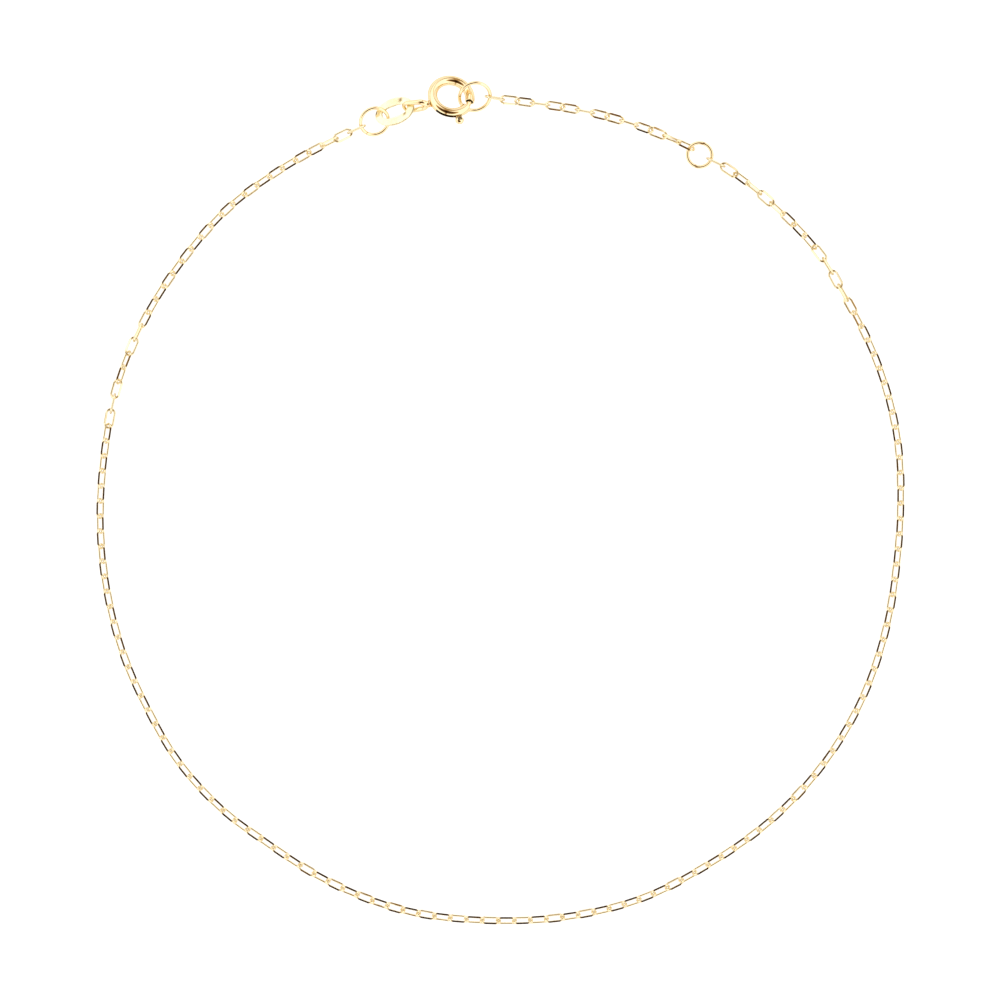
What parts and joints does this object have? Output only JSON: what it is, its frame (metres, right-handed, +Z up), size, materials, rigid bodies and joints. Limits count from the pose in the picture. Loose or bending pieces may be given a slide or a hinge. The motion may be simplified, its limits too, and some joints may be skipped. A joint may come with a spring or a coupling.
{
  "type": "anklet",
  "caption": "Fine gold cable-chain anklet with an extender, a spring-ring clasp whose trigger moves, jump rings and a small oval tag, lying as a closed loop.",
  "frame": {"origin": "centre of the loop's box, on the surface that the anklet lies on", "axes": "+Z up from the surface, +Y from the ankle's centre towards the clasp, +X to the right with the extender between the clasp and the adjuster ring"},
  "size_m": [0.0885, 0.0928, 0.0035],
  "materials": {
    "chain_gold": "polished yellow gold",
    "clasp_gold": "polished yellow gold",
    "tag_gold": "satin yellow gold"
  },
  "bodies": {
    "anklet": {"main_chain": "chain_gold", "extender_link_01": "chain_gold", "extender_link_02": "chain_gold", "extender_link_03": "chain_gold", "extender_link_04": "chain_gold", "extender_link_05": "chain_gold", "extender_link_06": "chain_gold", "extender_link_07": "chain_gold", "extender_link_08": "chain_gold", "extender_link_09": "chain_gold", "extender_link_10": "chain_gold", "extender_link_11": "chain_gold", "extender_link_12": "chain_gold", "extender_link_13": "chain_gold", "extender_link_14": "chain_gold", "adjuster_ring": "clasp_gold", "end_ring": "clasp_gold", "tag_ring": "clasp_gold", "tag": "tag_gold", "spring_ring": "clasp_gold"},
    "trigger": {"trigger_bolt": "clasp_gold"}
  },
  "joints": [
    {"name": "clasp_trigger", "type": "hinge", "parent": "anklet", "child": "trigger", "pos_m": [-0.00543, 0.04403, 0.00164], "axis": [0.1638, 0.504, 0.848], "range_deg": [-50, 0], "stiffness_Nm_per_rad": 0.001}
  ]
}
